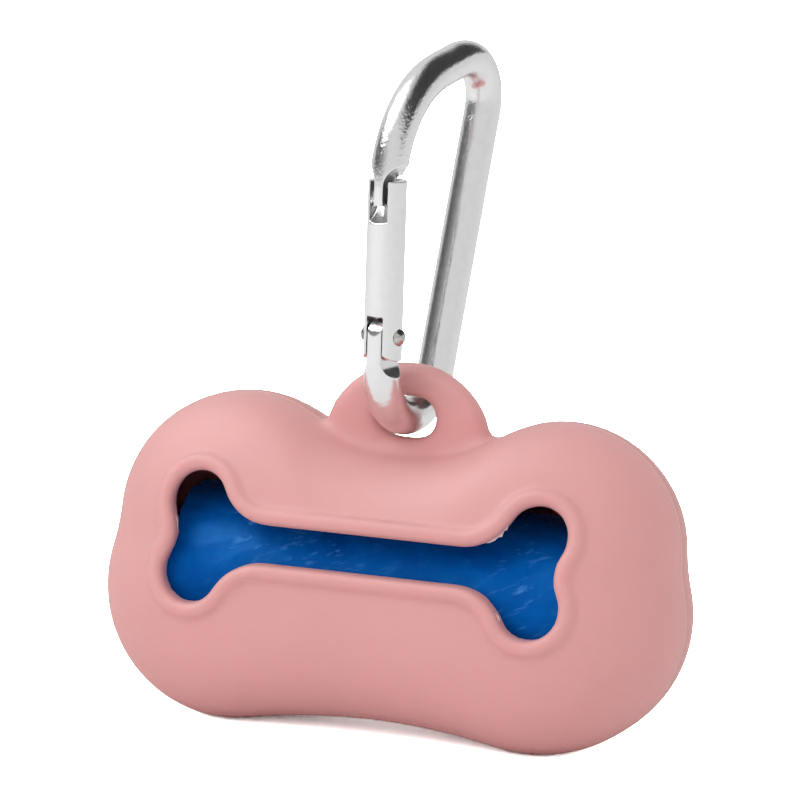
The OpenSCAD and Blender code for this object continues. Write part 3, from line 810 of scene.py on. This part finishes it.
def filmMaterial():
    # thin blown film: smooth, with a broad sheen in its own blue and whitish lines where it was stretched
    mat, tree, shader, out = newMaterial("polyethyleneFilmBlue")
    at = addNode(tree, "ShaderNodeTexCoord").outputs["Object"]
    clouds = noisy(tree, at, 130, 4, 0.6)
    colour = ramp(tree, clouds, (0.3, hexColour("#00479a")), (0.7, hexColour("#005cb2")))
    # whitish stress lines, long and slanting
    slant = addNode(tree, "ShaderNodeMapping", Vector=at, Rotation=(0, math.radians(32), 0)).outputs[0]
    lines = noisy(tree, slant, 900, 3, 0.7, (0.16, 1, 1))
    streak = ramp(tree, lines, (0.56, 0.0), (0.72, 1.0))
    # fingers have scratched it left of the middle and at the right end, over the roll's 63 mm
    x = addNode(tree, "ShaderNodeSeparateXYZ", Vector=at).outputs[0]
    where = ramp(tree, maths(tree, "ADD", maths(tree, "DIVIDE", x, 0.063), 0.5),
                 (0.1, 0.0), (0.2, 1.0), (0.4, 0.9), (0.5, 0.15), (0.78, 0.1), (0.85, 1.0), (0.95, 0.2))
    streak = maths(tree, "MULTIPLY", streak, where)
    colour = mixed(tree, colour, hexColour("#5a9be8"), maths(tree, "MULTIPLY", streak, 0.6))
    tree.links.new(colour, shader.inputs["Base Color"])
    tree.links.new(ramp(tree, clouds, (0.3, 0.38), (0.7, 0.5)), shader.inputs["Roughness"])
    shader.inputs["IOR"].default_value = 1.51
    shader.inputs["Subsurface Weight"].default_value = 0.1
    shader.inputs["Subsurface Radius"].default_value = (0.2, 0.7, 1.0)
    shader.inputs["Subsurface Scale"].default_value = 0.0006
    low = bump(tree, clouds, 0.00012, 0.7)
    tree.links.new(bump(tree, lines, 0.00004, 0.8, low), shader.inputs["Normal"])
    shader.inputs["Specular IOR Level"].default_value = 0.42
    shader.inputs["Specular Tint"].default_value = hexColour("#38b3ff")  # the dye tints the sheen
    return mat


def cardboardMaterial():
    # a wound paper tube: dull, with short fibres along it
    mat, tree, shader, out = newMaterial("cardboardGreyBrown")
    at = addNode(tree, "ShaderNodeTexCoord").outputs["Object"]
    fibres = noisy(tree, at, 1500, 4, 0.7, (0.25, 1, 1))
    colour = ramp(tree, fibres, (0.3, hexColour("#8d7458")), (0.7, hexColour("#b49a79")))
    tree.links.new(colour, shader.inputs["Base Color"])
    shader.inputs["Roughness"].default_value = 0.85
    tree.links.new(bump(tree, fibres, 0.00004), shader.inputs["Normal"])
    return mat


silicone, aluminium, film = siliconeMaterial(), aluminiumMaterial(), filmMaterial()
rivetSteel = steelMaterial("steelNickelled", "#d5d3cf", "#b9b6b1", 0.16)
springSteel = steelMaterial("steelSpringBright", "#b4b2ae", "#8f8c88", 0.24)
dress(silicone, caseShell)
dress(aluminium, pieces["carabiner_frame"], pieces["gate"])
dress(rivetSteel, pieces["gate_rivet"], pieces["gate_plunger"])
dress(springSteel, bpy.data.objects["gate_spring"])
dress(film, outerBag, *(bpy.data.objects[f"bag_{i:02d}"] for i in range(2, 16)))
dress(cardboardMaterial(), bpy.data.objects["roll_core"])
print("materials", len(bpy.data.materials))

# the camera and the light
view = {
    "azimuth": 18.13, "elevation": 9.5, "roll": 3.27, "distance": 780.0, "pxPerMm": 6.8,
    "aim": (400.89, 561.86),  # where the case's middle falls in the picture
    "side": 800, "sensor": 36,  # the picture in pixels, the camera's sensor in millimetres
}


def placeCamera():
    a, e, roll = (math.radians(view[k]) for k in ("azimuth", "elevation", "roll"))
    back = Vector((math.sin(a) * math.cos(e), -math.cos(a) * math.cos(e), math.sin(e)))
    right = Vector((math.cos(a), math.sin(a), 0))
    up = back.cross(right)
    imageRight = math.cos(roll) * right + math.sin(roll) * up
    imageUp = -math.sin(roll) * right + math.cos(roll) * up
    focal, middle = view["pxPerMm"] * view["distance"], view["side"] / 2
    place = Vector((0, 0, centreZ)) + back * view["distance"]
    ahead = -back + imageRight * (middle - view["aim"][0]) / focal + imageUp * (view["aim"][1] - middle) / focal
    zAxis = -ahead.normalized()
    xAxis = imageUp.cross(zAxis).normalized()
    yAxis = zAxis.cross(xAxis)
    cam = bpy.data.cameras.new("camera")
    cam.sensor_width = view["sensor"]
    cam.lens = focal / view["side"] * view["sensor"]
    cam.clip_end = 20
    obj = bpy.data.objects.new("camera", cam)
    obj.matrix_world = Matrix.Translation(place * mm) @ Matrix((xAxis, yAxis, zAxis)).transposed().to_4x4()
    bpy.context.scene.collection.objects.link(obj)
    bpy.context.scene.camera = obj


placeCamera()
bpy.context.scene.view_settings.view_transform = "Standard"

world = bpy.data.worlds.new("studio")
bpy.context.scene.world = world
world.use_nodes = True
wt = world.node_tree
wt.nodes.clear()
white = hexColour("#ffffff")
fillLevel, roomLevel = 0.93, 0.74  # the room as a light, and as the metal and the gloss mirror it
path = addNode(wt, "ShaderNodeLightPath").outputs
seen = maths(wt, "MAXIMUM", path["Is Camera Ray"], path["Is Transmission Ray"])
dim, room, bright = (addNode(wt, "ShaderNodeBackground", Color=white, Strength=level).outputs[0]
                     for level in (fillLevel, roomLevel, 1.0))
mix = addNode(wt, "ShaderNodeMixShader", Fac=path["Is Glossy Ray"], i1=dim, i2=room).outputs[0]
mix = addNode(wt, "ShaderNodeMixShader", Fac=seen, i1=mix, i2=bright).outputs[0]
addNode(wt, "ShaderNodeOutputWorld", Surface=mix)


def addLamp(name, place, target, size, power):
    light = bpy.data.lights.new(name, "AREA")
    light.energy = power
    light.size = size
    obj = bpy.data.objects.new(name, light)
    obj.location = place
    obj.rotation_euler = (Vector(target) - Vector(place)).to_track_quat("-Z", "Y").to_euler()
    obj.visible_glossy = False  # the cards make the reflections
    bpy.context.scene.collection.objects.link(obj)


def addCard(name, azimuth, elevation, width, height, level, away=1.0, colour=white, fade=0):
    # a flat card that only reflections see, for the bright and dark fields of a photo table
    a, e = math.radians(azimuth), math.radians(elevation)
    target = Vector((0, 0, 0.06))
    place = Vector((math.sin(a) * math.cos(e), -math.cos(a) * math.cos(e), math.sin(e))) * away + target
    bpy.ops.mesh.primitive_plane_add(size=1, location=place)
    obj = added(name)
    obj.scale = (width, height, 1)
    obj.rotation_euler = (target - place).to_track_quat("Z", "Y").to_euler()
    mat, tree, shader, out = newMaterial(name)
    tree.nodes.remove(shader)
    glow = addNode(tree, "ShaderNodeEmission", Color=colour)
    at = addNode(tree, "ShaderNodeSeparateXYZ", Vector=addNode(tree, "ShaderNodeTexCoord").outputs["Object"])
    stops = level if isinstance(level, list) else [(0, level), (1, level)]
    across = ramp(tree, maths(tree, "ADD", at.outputs[0], 0.5), *stops)
    # the top of a card may fade into the room, so that its reflection has no hard end
    upwards = ramp(tree, maths(tree, "ADD", at.outputs[1], 0.5), (1 - fade, 0.0), (1, 1.0)) if fade else 0.0
    faded = maths(tree, "MULTIPLY", upwards, roomLevel)
    kept = maths(tree, "MULTIPLY", maths(tree, "SUBTRACT", 1.0, upwards), across)
    tree.links.new(maths(tree, "ADD", faded, kept), glow.inputs["Strength"])
    tree.links.new(glow.outputs[0], out.inputs["Surface"])
    obj.data.materials.append(mat)
    for kind in ("camera", "diffuse", "glossy", "transmission", "volume_scatter", "shadow"):
        setattr(obj, "visible_" + kind, kind == "glossy")


addLamp("keyAbove", (-0.45, -0.65, 0.58), (0, 0, 0.03), 0.6, 1.95)
addCard("cardSoftbox", -64, 50, 0.5, 0.6, 10.5)
addCard("cardDarkRightAbove", 115, 55, 2.1, 1.5, 0.05, 1.1)
darkStops = [(0, 0.7), (0.2, 0.4), (0.4, 0.22), (0.6, 0.1), (0.8, 0.12), (1, 0.4)]
addCard("cardDarkLeft", -55, 23, 2.4, 0.9, darkStops, 1.2, fade=0.4)
addCard("cardWarmLow", 12, -4, 0.06, 0.05, 0.86, 0.5, hexColour("#fff6f6"))

bpy.ops.mesh.primitive_plane_add(size=4, location=(0, 0, 0))
floor = added("floor")
floorMat, tree, shader, out = newMaterial("floorMattWhite")
shader.inputs["Base Color"].default_value = hexColour("#ededed")
shader.inputs["Roughness"].default_value = 0.8
# the camera sees the lit paper overexposed, so that only the contact shadow is left on it
sheets = [addNode(tree, "ShaderNodeBsdfDiffuse", Color=hexColour("#ddf9f9")) for i in range(10)]
paper = sheets[0]
for sheet in sheets[1:]:
    paper = addNode(tree, "ShaderNodeAddShader", i0=paper.outputs[0], i1=sheet.outputs[0])
ray = addNode(tree, "ShaderNodeLightPath")
both = addNode(tree, "ShaderNodeMixShader", Fac=ray.outputs["Is Camera Ray"])
tree.links.new(shader.outputs[0], both.inputs[1])
tree.links.new(paper.outputs[0], both.inputs[2])
tree.links.new(both.outputs[0], out.inputs["Surface"])
floor.data.materials.append(floorMat)
print("camera, lamp, cards and floor")
